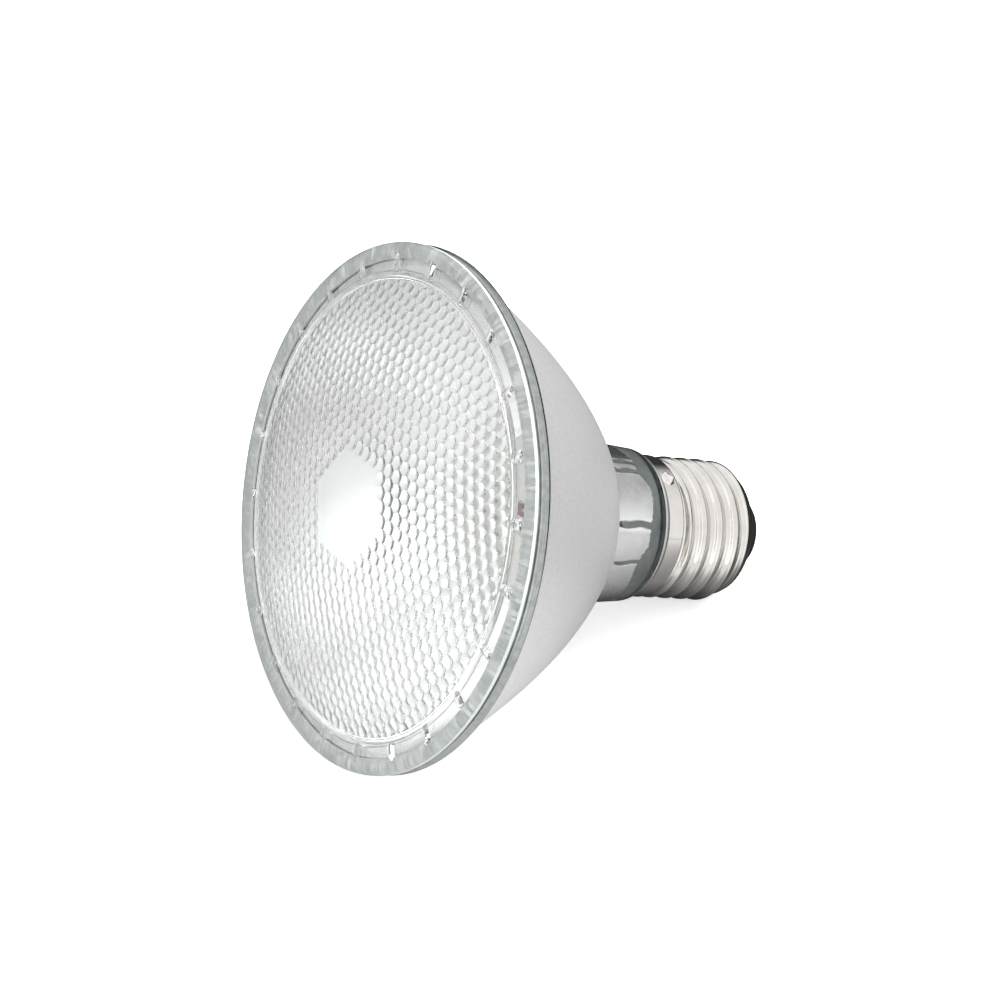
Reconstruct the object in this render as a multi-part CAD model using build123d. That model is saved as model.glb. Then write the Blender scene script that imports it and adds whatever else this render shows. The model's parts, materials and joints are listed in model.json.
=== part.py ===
from build123d import *
from math import asin, atan2, ceil, cos, degrees, hypot, pi, radians, sin, sqrt
import os

# A reflector lamp with a glass body, a domed lens and an E27 screw cap.
# All sizes are in millimetres and all angles in degrees.
# Every piece is drawn on the lamp's own axis, which is Z here.
# Z is 0 at the front of the lens rim and grows towards the cap.
# The side at angle 0, along X, is the one that the lamp lies on.

# Lens
rim_radius = 47.3
rim_thickness = 1.8
rim_round = 1.2
rim_width = 6.0            # the rim's flat front, from its edge in to the dome
dome_rise = 7.8
dome_foot_round = 0.8
lens_wall = 2.4            # at the middle of the dome
field_margin = 0.9         # from the foot of the dome in to the moulded field
field_step = 0.6           # how far the field's edge lies inside the back of the rim
cell_pitch = 2.45
cell_height = 0.3
clear_radius = 10.5        # the cells inside this are smooth
cell_turn = 14.7
pad_count = 24
pad_margin = 0.6           # from the foot of the dome out to the pads
pad_length = 3.4
pad_width = 1.5
pad_height = 0.5
pad_round = 0.35
pad_turn = 8.3

# Seal between the lens and the reflector
seal_thickness = 0.55
seal_inset = 0.45
seal_width = 2.4

# Reflector bowl and neck, one piece of pressed glass
flange_inset = 0.1         # the lens rim stands out past the flange
flange_thickness = 2.05
flange_round = 0.6
flange_reach = 1.6         # from the bowl's outside to the flange's edge
seam_turn = 1.45           # the turned bowl's seam lies beside the line that the lamp lies on
mouth_wall = 1.4
bowl_foot_radius = 20.3
bowl_foot = 38.6
bowl_wall = 2.1
foot_round = 1.6
foot_depth = 3.3           # from the bowl's foot to the top of the neck
neck_top_radius = 15.2
neck_taper = 1.1
neck_length = 13.3
neck_shoulder = 2.0
tail_clearance = 0.4       # to the inside of the shell's thread
tail_wall = 1.8
tail_length = 10.8

# Screw cap
skirt_gap = 0.1
skirt_step = 0.05          # the skirt stands out past the thread's crests
skirt_length = 4.1
shell_wall = 0.35
thread_crest_radius = 13.2
thread_depth = 1.15
thread_pitch = 3.629
thread_full = 14.0         # from the skirt to where the last turn starts to fade
thread_lead_in = 2.2       # from the skirt to the first crest on the lower side
thread_fade = 2.4
nose_step = 0.3            # the nose starts this far inside the thread's roots
nose_taper = 3.25
nose_length = 2.95
facet_count = 30
rows_per_pitch = 6
insulator_length = 2.35
insulator_taper = 2.1
insulator_depth = 2.6
insulator_bore = 1.0
contact_margin = 1.6       # from the contact's edge to the insulator's
contact_height = 1.45
contact_flat_radius = 2.6
contact_rim = 0.4
cement_depth = 3.6
solder_radius = 1.25
solder_proud = 0.5
solder_angle = 189.5

# Heat sink, bonded into the neck
sink_inset = 2.4           # from the sink's front to the bowl's foot
sink_plate_margin = 3.4    # from the plate's edge to the bowl's outside at its foot
sink_plate = 1.8
bond_gap = 0.5             # from the tube to the inside of the neck, at the neck's end
sink_tube_wall = 1.1
sink_tube_gap = 0.8        # from the tube's end to where the neck closes in
sink_wire_hole = 2.4
bond_length = 6.0

# Light source board
led_board_margin = 0.9     # from the board's edge to the sink plate's
led_board_thickness = 1.6
board_wire_hole = 1.9
chip_length = 3.5
chip_width = 2.8
chip_height = 0.8
outer_chips = 10
outer_chip_margin = 3.0    # from the board's edge in to the middles of the outer chips
inner_chips = 5
inner_chip_circle = 5.5
screw_circle = 9.3
screw_radius = 1.2
screw_head_radius = 2.1
screw_head_height = 1.3
screw_hole_clearance = 0.15
screw_tap_clearance = 0.03
screw_length = 3.2

# Driver, in its plastic sleeve
sleeve_clearance = 0.2     # to the inside of the glass tail
sleeve_wall = 0.7
sleeve_collar_clearance = 0.1
sleeve_collar = 1.5
sleeve_gap = 1.0           # from the sleeve's end to the tail's
rail_width = 1.0
rail_reach = 1.0
board_clearance = 0.1
board_edge_gap = 0.17      # from the board's corners to the inside of the sleeve
driver_end_gap = 0.5       # from the board to the sleeve's end
driver_thickness = 1.2
driver_offset = -3.2       # the board's back face, on the upper side of the axis
driver_inset = 2.5         # from the sleeve's front to the board
seat = 0.05                # clearance under a part on a board

bulk_radius = 4.0
bulk_length = 11.5
bulk_inset = 1.0
bulk_groove = 0.35
choke_radius = 3.5
choke_height = 7.0
choke_flange = 1.0
choke_post_radius = 1.8
choke_winding_radius = 3.1
choke_inset = 17.0
choke_side_gap = 0.2       # from the choke to the parts beside it
film_length = 7.0
film_width = 2.8
film_height = 4.6
resistor_radius = 1.4
resistor_length = 6.5
resistor_pin_radius = 0.3
resistor_pin = 1.6
bridge_length = 4.7
bridge_width = 3.9
bridge_height = 1.6
bridge_inset = 17.5
driver_chip_length = 4.9
driver_chip_width = 3.9
driver_chip_height = 1.5
driver_chip_inset = 8.0
leg_width = 0.5
leg_reach = 1.0
leg_thickness = 0.25
leg_spread = 1.27

# Leads
dc_lead_radius = 0.5
dc_lead_spacing = 1.4
dc_lead_reach = 3.4
dc_lead_rise = 1.7
dc_lead_bend = 0.75
mains_lead_radius = 0.45
mains_lead_bend = 2.0
lead_side = 4.6

# Stations along the axis
lens_back = rim_thickness
flange_front = lens_back + seal_thickness
flange_back = flange_front + flange_thickness
neck_top = bowl_foot + foot_depth
neck_end = neck_top + neck_length
tail_end = neck_end + tail_length
skirt_start = neck_end + skirt_gap
skirt_end = skirt_start + skirt_length
thread_start_station = skirt_end + thread_lead_in
thread_end = skirt_end + thread_full
nose_start = thread_end + thread_fade
nose_end = nose_start + nose_length
contact_seat = nose_end + insulator_length
contact_tip = contact_seat + contact_height
sink_front = bowl_foot - sink_inset
sink_back = sink_front + sink_plate
sink_end = neck_end - neck_shoulder - sink_tube_gap
led_board_front = sink_front - led_board_thickness
sleeve_end = tail_end - sleeve_gap
driver_start = sink_back + driver_inset
driver_end = sleeve_end - driver_end_gap
driver_face = driver_offset + driver_thickness

# Radii that follow from others
dome_radius = rim_radius - rim_width
field_radius = dome_radius - field_margin
pad_start = dome_radius + pad_margin
flange_radius = rim_radius - flange_inset
bowl_radius = flange_radius - flange_reach
mouth_radius = bowl_radius - mouth_wall
thread_root_radius = thread_crest_radius - thread_depth
skirt_radius = thread_crest_radius + skirt_step
nose_radius = thread_root_radius - nose_step
nose_end_radius = nose_radius - nose_taper
insulator_end_radius = nose_end_radius - insulator_taper
contact_radius = insulator_end_radius - contact_margin
tail_radius = thread_root_radius - shell_wall - tail_clearance
neck_end_radius = neck_top_radius - neck_taper
sink_plate_radius = bowl_foot_radius - sink_plate_margin
sink_tube_radius = neck_end_radius - bowl_wall - bond_gap
led_board_radius = sink_plate_radius - led_board_margin
outer_chip_circle = led_board_radius - outer_chip_margin
sleeve_radius = tail_radius - tail_wall - sleeve_clearance
sleeve_inner = sleeve_radius - sleeve_wall
driver_width = 2 * sqrt((sleeve_inner - board_edge_gap) ** 2 - driver_offset**2)


def turned(section):
    """A flat section, drawn with its radius along X and Z along Y, turned about the axis."""
    return revolve(Plane.XZ * section, Axis.Z)


def outline(*edges):
    return make_face(Curve() + list(edges))


def round_corners(section, radius, *points):
    corners = [min(section.vertices(), key=lambda v: hypot(v.X - r, v.Y - z)) for r, z in points]
    return fillet(corners, radius)


def profile(*points):
    return turned(make_face(Polyline(*points, close=True)))


def ring(inner, outer, start, end):
    return profile((inner, start), (outer, start), (outer, end), (inner, end))


def rod(radius, start, end):
    return Pos(0, 0, start) * extrude(Circle(radius), end - start)


def block(x, y, z):
    """A box given by its low and high limits on each axis."""
    size = [high - low for low, high in (x, y, z)]
    middle = [(high + low) / 2 for low, high in (x, y, z)]
    return Pos(*middle) * Box(*size)


def around(piece, count, turn=0.0):
    return [Rot(0, 0, turn + 360 / count * k) * piece for k in range(count)]


def lead(radius, points, bend):
    """A round wire along straight runs joined by arcs."""
    path = FilletPolyline(*points, radius=bend)
    return sweep(Plane(path @ 0, z_dir=path % 0) * Circle(radius), path=path)


def facet(*points):
    return Face(Wire.make_polygon([Vector(*p) for p in points]))


# Front lens

def dome_front(r):
    curve = (dome_radius**2 + dome_rise**2) / (2 * dome_rise)
    return curve - dome_rise - sqrt(curve**2 - r**2)


def dome_back(r):
    """Base of the moulded cells: a flatter dome that ends inside the rim."""
    rise = lens_back - field_step + dome_rise - lens_wall
    curve = (field_radius**2 + rise**2) / (2 * rise)
    return curve - dome_rise + lens_wall - sqrt(curve**2 - r**2)


def lens_blank():
    """The lens with its pads, before its back is moulded."""
    section = outline(
        ThreePointArc(
            (0, -dome_rise), (dome_radius / 2, dome_front(dome_radius / 2)), (dome_radius, 0)
        ),
        Polyline(
            (dome_radius, 0), (rim_radius, 0), (rim_radius, lens_back), (0, lens_back), (0, -dome_rise)
        ),
    )
    section = round_corners(section, dome_foot_round, (dome_radius, 0))
    blank = turned(round_corners(section, rim_round, (rim_radius, 0)))
    pad = extrude(SlotOverall(pad_length, pad_width), 2 * pad_height)
    pad = Pos(pad_start + pad_length / 2, 0, -pad_height) * pad
    pad = fillet(pad.edges().group_by(Axis.Z)[0], pad_round)
    return blank + around(pad, pad_count, pad_turn)


def lens_cavity():
    """What the mould's core leaves: hexagonal cells, each a low six-sided point."""
    corner_reach = cell_pitch / sqrt(3)
    count = ceil((field_radius + cell_pitch) / cell_pitch * 1.2)
    top = lens_back + 1
    faces = []
    open_edges = {}
    for i in range(-count, count + 1):
        for j in range(-count, count + 1):
            x = cell_pitch * (i + j / 2)
            y = cell_pitch * j * sqrt(3) / 2
            if hypot(x, y) > field_radius + corner_reach:
                continue
            height = cell_height if hypot(x, y) > clear_radius else 0
            tip = (x, y, dome_back(hypot(x, y)) + height)
            corners = []
            for k in range(6):
                cx = x + corner_reach * cos(radians(60 * k + 30))
                cy = y + corner_reach * sin(radians(60 * k + 30))
                corners.append((cx, cy, dome_back(hypot(cx, cy))))
            for a, b in zip(corners, corners[1:] + corners[:1]):
                faces.append(facet(tip, a, b))
                ends = [tuple(round(v, 5) for v in p) for p in (a, b)]
                key = frozenset(ends)
                if key in open_edges:
                    del open_edges[key]
                else:
                    open_edges[key] = (a, b)
    loop = follow(list(open_edges.values()))
    for a, b in zip(loop, loop[1:] + loop[:1]):
        faces.append(facet(a, b, (*b[:2], top), (*a[:2], top)))
    faces.append(facet(*[(*p[:2], top) for p in loop]))
    core = Solid(Shell(faces))
    return Rot(0, 0, cell_turn) * core & rod(field_radius, -dome_rise, top)


def follow(edges):
    """The edges' start points, in order round the loop that they make."""
    def key(p):
        return tuple(round(v, 5) for v in p)
    step = {key(a): (a, b) for a, b in edges}
    here = key(edges[0][0])
    loop = []
    for _ in edges:
        a, b = step[here]
        loop.append(a)
        here = key(b)
    return loop


def front_lens():
    return lens_blank() - lens_cavity()


def lens_seal():
    outer = flange_radius - seal_inset
    return ring(outer - seal_width, outer, lens_back, flange_front)


# Reflector bowl and neck

def parabola(start, end):
    """The arc of a parabola about the axis through two points of its wall."""
    (r0, z0), (r1, z1) = start, end
    four_focal = (r0**2 - r1**2) / (z1 - z0)
    vertex = z0 + r0**2 / four_focal
    middle = ((r0 + r1) / 2, vertex - r0 * r1 / four_focal)
    return Bezier((r0, z0), middle, (r1, z1))


def bowl_slope():
    """Radius lost for each millimetre along the axis, at the bowl's foot."""
    return (bowl_radius**2 - bowl_foot_radius**2) / (bowl_foot - flange_back) / (2 * bowl_foot_radius)


def neck_inner_radius(z):
    share = (z - neck_top) / (neck_end - neck_top)
    return neck_top_radius + (neck_end_radius - neck_top_radius) * share - bowl_wall


def reflector_bowl():
    lean = atan2(bowl_slope(), 1)
    foot = (bowl_foot_radius, bowl_foot)
    inner_foot = (foot[0] - bowl_wall * cos(lean), foot[1] - bowl_wall * sin(lean))
    inner_neck_top = neck_top - bowl_wall / 2
    inner_neck_end = neck_end - neck_shoulder
    tail_inner = tail_radius - tail_wall
    section = outline(
        Polyline(
            (mouth_radius, flange_front),
            (flange_radius, flange_front),
            (flange_radius, flange_back),
            (bowl_radius, flange_back),
        ),
        parabola((bowl_radius, flange_back), foot),
        Polyline(
            foot,
            (neck_top_radius, neck_top),
            (neck_end_radius, neck_end),
            (tail_radius, neck_end),
            (tail_radius, tail_end),
            (tail_inner, tail_end),
            (tail_inner, neck_end),
            (neck_inner_radius(inner_neck_end), inner_neck_end),
            (neck_inner_radius(inner_neck_top), inner_neck_top),
            inner_foot,
        ),
        parabola((mouth_radius, flange_front), inner_foot),
    )
    section = round_corners(section, foot_round, foot, (neck_top_radius, neck_top), inner_foot)
    section = round_corners(section, neck_shoulder, (neck_end_radius, neck_end))
    rim = [(flange_radius, flange_front), (flange_radius, flange_back)]
    return Rot(0, 0, seam_turn) * turned(round_corners(section, flange_round, *rim))


# Screw cap

def smooth(share):
    share = min(max(share, 0.0), 1.0)
    return share * share * (3 - 2 * share)


def thread_radius(z, angle):
    """Outer radius of the rolled shell: a round right-hand thread that fades at both ends."""
    turns = (z - thread_start_station) / thread_pitch - angle / 360
    knuckle = thread_crest_radius - thread_depth / 2 * (1 - cos(2 * pi * turns))
    start = smooth((z - skirt_end) / (thread_pitch / 3))
    end = smooth((z - thread_end) / thread_fade)
    radius = thread_root_radius + (knuckle - thread_root_radius) * start
    return radius + (nose_radius - radius) * end


def shell_core(wall, start):
    """Solid inside the shell's outer surface, or inside its inner one where a wall is given."""
    rows = ceil((nose_start - start) / (thread_pitch / rows_per_pitch))
    stations = [start + (nose_start - start) * k / rows for k in range(rows + 1)]
    angles = [360 / facet_count * (k + 0.5) for k in range(facet_count)]

    def circle(z, radius_at):
        sized = [(radius_at(z, angle) - wall, radians(angle)) for angle in angles]
        return [(r * cos(angle), r * sin(angle), z) for r, angle in sized]

    circles = [circle(z, thread_radius) for z in stations]
    slope_wall = wall * (hypot(nose_radius - nose_end_radius, nose_length) / nose_length - 1)
    circles.append(circle(nose_end, lambda z, angle: nose_end_radius - slope_wall))
    faces = [facet(*circles[0]), facet(*circles[-1])]
    for low, high in zip(circles, circles[1:]):
        for k in range(facet_count):
            n = (k + 1) % facet_count
            faces.append(facet(low[k], low[n], high[n]))
            faces.append(facet(low[k], high[n], high[k]))
    return Solid(Shell(faces))


def cap_shell():
    outside = rod(skirt_radius, skirt_start, skirt_end) + shell_core(0, skirt_end)
    inner_end = skirt_end - shell_wall
    inside = rod(skirt_radius - shell_wall, skirt_start, inner_end) + shell_core(shell_wall, inner_end)
    return outside - inside


def cap_cement():
    return ring(tail_radius, skirt_radius - shell_wall, skirt_start, skirt_start + cement_depth)


def cap_insulator():
    slope = (nose_radius - nose_end_radius) / nose_length
    fit = (shell_wall * hypot(1, slope) + seat) / cos(radians(180 / facet_count))
    deep = nose_end - insulator_depth
    bore = insulator_bore
    return profile(
        (bore, deep),
        (nose_end_radius + slope * insulator_depth - fit, deep),
        (nose_end_radius - fit, nose_end),
        (nose_end_radius - seat, nose_end),
        (insulator_end_radius, contact_seat),
        (bore, contact_seat),
    )


def centre_contact():
    knee = contact_seat + contact_rim
    section = outline(
        Polyline((0, contact_seat), (contact_radius, contact_seat), (contact_radius, knee)),
        Spline(
            (contact_radius, knee), (contact_flat_radius, contact_tip), tangents=((-0.5, 1), (-1, 0))
        ),
        Polyline((contact_flat_radius, contact_tip), (0, contact_tip), (0, contact_seat)),
    )
    return turned(section)


def solder_spot():
    """A drop of solder on the skirt's edge, cut to sit on the skirt."""
    sink = (solder_radius**2 - solder_proud**2) / (2 * solder_proud)
    ball = Sphere(sink + solder_proud)
    drop = Pos(skirt_radius - sink, 0, skirt_start + solder_radius) * ball
    return Rot(0, 0, solder_angle) * (drop - rod(skirt_radius, skirt_start - 9, skirt_start + 9))


# Heat sink and light source

def screw_places():
    return [Pos(0, side * screw_circle, 0) for side in (-1, 1)]


def heat_sink():
    plate = rod(sink_plate_radius, sink_front, sink_back)
    tube = ring(
        sink_tube_radius - sink_tube_wall, sink_tube_radius, sink_back, sink_end
    )
    sink = plate + tube - rod(sink_wire_hole, sink_front, sink_back)
    tapped = rod(screw_radius + screw_tap_clearance, sink_front, sink_back)
    return sink - [place * tapped for place in screw_places()]


def sink_bond():
    start = sink_end - bond_length
    return profile(
        (sink_tube_radius, start),
        (neck_inner_radius(start), start),
        (neck_inner_radius(sink_end), sink_end),
        (sink_tube_radius, sink_end),
    )


def led_board():
    board = rod(led_board_radius, led_board_front, sink_front)
    board -= rod(board_wire_hole, led_board_front, sink_front)
    hole = rod(screw_radius + screw_hole_clearance, led_board_front, sink_front)
    return board - [place * hole for place in screw_places()]


def led_chips():
    low, high = led_board_front - chip_height, led_board_front
    chip = block(
        (-chip_width / 2, chip_width / 2), (-chip_length / 2, chip_length / 2), (low, high)
    )
    outer = around(Pos(outer_chip_circle, 0, 0) * chip, outer_chips)
    inner = around(Pos(inner_chip_circle, 0, 0) * chip, inner_chips)
    return outer + inner


def board_screws():
    head = rod(screw_head_radius, led_board_front - screw_head_height, led_board_front)
    head = fillet(head.edges().sort_by(Axis.Z)[0], screw_head_height / 2)
    screw = head + rod(screw_radius, led_board_front, led_board_front + screw_length)
    return [place * screw for place in screw_places()]


def dc_lead(side):
    """From the driver board, through the heat sink, to a pad on the light source board."""
    y = side * dc_lead_spacing / 2
    top = led_board_front - dc_lead_rise
    board_x = driver_face + dc_lead_radius + seat
    return lead(
        dc_lead_radius,
        [
            (board_x, y, driver_start + dc_lead_bend),
            (board_x, y, driver_start - dc_lead_bend),
            (0, y, sink_back - dc_lead_bend),
            (0, y, top),
            (0, side * dc_lead_reach, top),
            (0, side * dc_lead_reach, led_board_front),
        ],
        dc_lead_bend,
    )


# Driver

def driver_sleeve():
    collar = sink_tube_radius - sink_tube_wall - sleeve_collar_clearance
    tube = profile(
        (sleeve_inner, sink_back),
        (collar, sink_back),
        (collar, sink_back + sleeve_collar),
        (sleeve_radius, sink_back + sleeve_collar),
        (sleeve_radius, sleeve_end),
        (sleeve_inner, sleeve_end),
    )
    half = driver_width / 2
    bore = rod(sleeve_inner + sleeve_wall / 2, sink_back, sleeve_end)
    gaps = (driver_face + board_clearance, driver_offset - board_clearance - rail_width)
    for x in gaps:
        for side in (-1, 1):
            y = sorted((side * (half - rail_reach), side * sleeve_radius))
            tube += block((x, x + rail_width), y, (driver_start, driver_end)) & bore
    return tube


def driver_board():
    half = driver_width / 2
    return block((driver_offset, driver_face), (-half, half), (driver_start, driver_end))


def bulk_capacitor():
    start = driver_start + bulk_inset
    can = rod(bulk_radius, start, start + bulk_length)
    can = fillet(can.edges().sort_by(Axis.Z)[0], bulk_groove)
    groove = ring(bulk_radius - bulk_groove, bulk_radius + 1, start + 1.2, start + 1.2 + 2 * bulk_groove)
    return Pos(driver_face + bulk_radius + seat, 0, 0) * (can - groove)


def choke_turned(radius, low, high, bore=0.0):
    """A round piece of the choke, standing on the driver board."""
    section = Circle(radius) - Circle(bore) if bore else Circle(radius)
    base = Pos(driver_face + seat + low, 0, driver_start + choke_inset)
    return base * Rot(0, 90, 0) * extrude(section, high - low)


def choke_core():
    post = choke_turned(choke_post_radius, 0, choke_height)
    foot = choke_turned(choke_radius, 0, choke_flange)
    head = choke_turned(choke_radius, choke_height - choke_flange, choke_height)
    return post + foot + head


def choke_winding():
    return choke_turned(
        choke_winding_radius, choke_flange, choke_height - choke_flange, choke_post_radius
    )


def film_capacitor():
    middle = driver_start + choke_inset
    base = driver_face + seat
    side = choke_radius + choke_side_gap
    case = block(
        (base, base + film_height),
        (side, side + film_width),
        (middle - film_length / 2, middle + film_length / 2),
    )
    return fillet(case.edges().filter_by(Axis.Z).sort_by(Axis.X)[-2:], film_width / 6)


def fusible_resistor():
    middle = driver_start + choke_inset
    low, high = middle - resistor_length / 2, middle + resistor_length / 2
    body = rod(resistor_radius, low, high)
    body = fillet(body.edges(), resistor_radius / 3)
    pins = rod(resistor_pin_radius, low - resistor_pin, high + resistor_pin)
    side = -(choke_radius + choke_side_gap + resistor_radius)
    return Pos(driver_face + seat + resistor_radius, side, 0) * (body + pins)


def chip_package(length, width, height, inset, legs):
    """A flat package on the back of the driver board, with legs along both sides."""
    top = driver_offset - seat
    start = driver_start + inset
    half = width / 2
    package = block((top - height, top), (-half, half), (start, start + length))
    package = chamfer(package.edges().filter_by(Axis.Z).sort_by(Axis.X)[:2], height / 4)
    first = start + length / 2 - leg_spread * (legs - 1) / 2
    for k in range(legs):
        z = first + leg_spread * k
        reach = half + leg_reach
        package += block((top - leg_thickness, top), (-reach, reach), (z - leg_width / 2, z + leg_width / 2))
    return package


def bridge_rectifier():
    return chip_package(bridge_length, bridge_width, bridge_height, bridge_inset, 2)


def driver_chip():
    return chip_package(
        driver_chip_length, driver_chip_width, driver_chip_height, driver_chip_inset, 4
    )


def mains_lead_centre():
    x = driver_face + mains_lead_radius + seat
    return lead(
        mains_lead_radius,
        [
            (x, 0, driver_end - mains_lead_bend),
            (x, 0, sleeve_end),
            (0, 0, sleeve_end + 3 * mains_lead_bend),
            (0, 0, contact_seat),
        ],
        mains_lead_bend,
    )


def mains_lead_shell():
    """From the driver board to the inside of the shell, where a turn of its thread is lowest."""
    x = driver_face + mains_lead_radius + seat
    turns = ceil((sleeve_end + mains_lead_bend - thread_start_station) / thread_pitch - 0.75)
    end = thread_start_station + thread_pitch * (turns + 0.75)
    inside = (thread_root_radius - shell_wall) * cos(radians(180 / facet_count))
    return lead(
        mains_lead_radius,
        [
            (x, lead_side, driver_end - mains_lead_bend),
            (x, lead_side, end - mains_lead_bend),
            (x / 2, lead_side + mains_lead_bend, end),
            (0, inside - seat, end),
        ],
        mains_lead_bend / 2,
    )


# Pose: lying on the edge of the reflector flange and on the edge of the cap's nose

def lying():
    rise = flange_radius - flange_round - nose_radius * cos(radians(180 / facet_count))
    run = nose_start - (flange_back - flange_round)
    lean = atan2(rise, run) + asin(flange_round / hypot(rise, run))
    return Rot(0, 90 + degrees(lean), 0)


def main():
    pieces = {
        "front_lens": front_lens(),
        "lens_seal": lens_seal(),
        "reflector_bowl": reflector_bowl(),
        "cap_shell": cap_shell(),
        "cap_cement": cap_cement(),
        "cap_insulator": cap_insulator(),
        "centre_contact": centre_contact(),
        "solder_spot": solder_spot(),
        "heat_sink": heat_sink(),
        "sink_bond": sink_bond(),
        "led_board": led_board(),
        "led_chips": led_chips(),
        "board_screws": board_screws(),
        "dc_lead_red": dc_lead(1),
        "dc_lead_black": dc_lead(-1),
        "driver_sleeve": driver_sleeve(),
        "driver_board": driver_board(),
        "bulk_capacitor": bulk_capacitor(),
        "choke_core": choke_core(),
        "choke_winding": choke_winding(),
        "film_capacitor": film_capacitor(),
        "fusible_resistor": fusible_resistor(),
        "bridge_rectifier": bridge_rectifier(),
        "driver_chip": driver_chip(),
        "mains_lead_centre": mains_lead_centre(),
        "mains_lead_shell": mains_lead_shell(),
    }
    laid = {}
    for name, piece in pieces.items():
        solids = piece if isinstance(piece, list) else [piece]
        laid[name] = Compound([lying() * s for solid in solids for s in solid.solids()])
    outer = Compound([laid[name] for name in ("front_lens", "reflector_bowl", "cap_shell", "centre_contact")])
    box = outer.bounding_box()
    middle = box.center()
    os.makedirs("parts", exist_ok=True)
    for name, piece in laid.items():
        export_step(Pos(-middle.X, -middle.Y, -box.min.Z) * piece, f"parts/{name}.step")


main()
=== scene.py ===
import json
import math

import bmesh
import bpy
import numpy as np
from mathutils import Matrix, Vector


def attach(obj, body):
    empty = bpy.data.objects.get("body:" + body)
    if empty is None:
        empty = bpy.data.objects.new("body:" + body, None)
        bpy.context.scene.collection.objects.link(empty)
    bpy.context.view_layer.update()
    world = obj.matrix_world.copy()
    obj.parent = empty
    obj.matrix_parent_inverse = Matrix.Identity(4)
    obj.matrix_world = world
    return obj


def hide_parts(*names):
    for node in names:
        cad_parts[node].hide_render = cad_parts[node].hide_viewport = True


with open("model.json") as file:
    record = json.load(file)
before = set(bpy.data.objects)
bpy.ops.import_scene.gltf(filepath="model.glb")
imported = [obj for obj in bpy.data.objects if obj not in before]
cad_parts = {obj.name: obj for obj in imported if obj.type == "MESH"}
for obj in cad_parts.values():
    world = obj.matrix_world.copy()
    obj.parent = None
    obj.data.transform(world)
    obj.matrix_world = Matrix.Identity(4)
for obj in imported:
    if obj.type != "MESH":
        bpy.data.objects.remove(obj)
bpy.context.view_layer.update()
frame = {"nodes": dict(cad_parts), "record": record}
print("frame loaded:", len(frame["nodes"]), "nodes")

# The lamp's own frame, in millimetres: z runs along its axis from the front of the
# lens rim (0) to the tip of the cap, and x points to the side that it lies on.
tipStation = 82.55
contactMount = next(m for m in frame["record"]["mounts"] if m["name"] == "centre_contact")
lampAxis = Vector(contactMount["axis"]).normalized()
lampTip = Vector(contactMount["pos_m"])
levelSide = Vector((0, 1, 0))
lowerSide = levelSide.cross(lampAxis)
lampBasis = np.array([lowerSide, levelSide, lampAxis])


def toWorld(points):
    local = np.asarray(points, float) - (0, 0, tipStation)
    return np.array(lampTip) + local @ lampBasis / 1000


# Mesh helpers

def ease(share):
    share = np.clip(share, 0.0, 1.0)
    return share * share * (3 - 2 * share)


def wheel(count, turn=0.0):
    return 2 * np.pi * (np.arange(count) + turn) / count


def ringOf(radius, station, angles):
    radius = np.broadcast_to(radius, angles.shape)
    station = np.broadcast_to(station, angles.shape)
    return np.column_stack((radius * np.cos(angles), radius * np.sin(angles), station))


# Points turned about the lamp's axis.
def turnPoints(x, y, z, degrees):
    across, along = math.cos(math.radians(degrees)), math.sin(math.radians(degrees))
    return np.column_stack((x * across - y * along, x * along + y * across, z))


# Quads between rings that follow each other, as an array of point numbers.
def joinRings(rows, columns, closed, start=0):
    first = np.arange(rows if closed else rows - 1)
    along, round_ = np.meshgrid(first, np.arange(columns), indexing="ij")
    nextAlong, nextRound = (along + 1) % rows, (round_ + 1) % columns
    corners = [along * columns + round_, along * columns + nextRound,
               nextAlong * columns + nextRound, nextAlong * columns + round_]
    return start + np.stack(corners, axis=-1).reshape(-1, 4)


def makePiece(name, points, faces, materials, node=None, sharpAngle=40, faceMaterials=None):
    mesh = bpy.data.meshes.new(name)
    mesh.from_pydata(toWorld(points).tolist(), [], [list(f) for f in faces])
    work = bmesh.new()
    work.from_mesh(mesh)
    bmesh.ops.recalc_face_normals(work, faces=work.faces)
    work.to_mesh(mesh)
    work.free()
    mesh.shade_smooth()
    mesh.set_sharp_from_angle(angle=math.radians(sharpAngle))
    for material in materials:
        mesh.materials.append(material)
    if faceMaterials is not None:
        mesh.polygons.foreach_set("material_index", np.asarray(faceMaterials, np.int32))
    mesh.validate()
    piece = bpy.data.objects.new(name, mesh)
    bpy.context.scene.collection.objects.link(piece)
    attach(piece, "root")
    if node:
        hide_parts(node)
    print("built", name, len(mesh.polygons), "faces")
    return piece


# A closed outline of (radius, station) with each corner rounded by its own radius.
def roundedLoop(corners, steps=6):
    rounded = []
    for k, (r, z, bend) in enumerate(corners):
        here = Vector((r, z))
        if bend == 0:
            rounded.append(here)
            continue
        before = Vector(corners[k - 1][:2]) - here
        after = Vector(corners[(k + 1) % len(corners)][:2]) - here
        half = before.angle(after) / 2
        reach = bend / math.tan(half)
        middle = here + (before.normalized() + after.normalized()).normalized() * (bend / math.sin(half))
        start, end = here + before.normalized() * reach, here + after.normalized() * reach
        for share in np.linspace(0, 1, steps + 1):
            spoke = (start - middle).lerp(end - middle, share)
            rounded.append(middle + spoke.normalized() * bend)
    return np.array([tuple(p) for p in rounded])


# A closed outline turned about the lamp's axis. From each mark on, its rows take the
# next material in the list.
def turnedPiece(name, loop, columns, materials, node=None, sharpAngle=40, marks=()):
    angles = wheel(columns)
    points = np.concatenate([ringOf(r, z, angles) for r, z in loop])
    faces = joinRings(len(loop), columns, closed=True)
    row = np.repeat(np.arange(len(loop)), columns)
    chosen = sum((row >= mark).astype(int) for mark in marks) % len(materials) if marks else None
    return makePiece(name, points, faces, materials, node, sharpAngle, chosen)


# Material helpers

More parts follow.
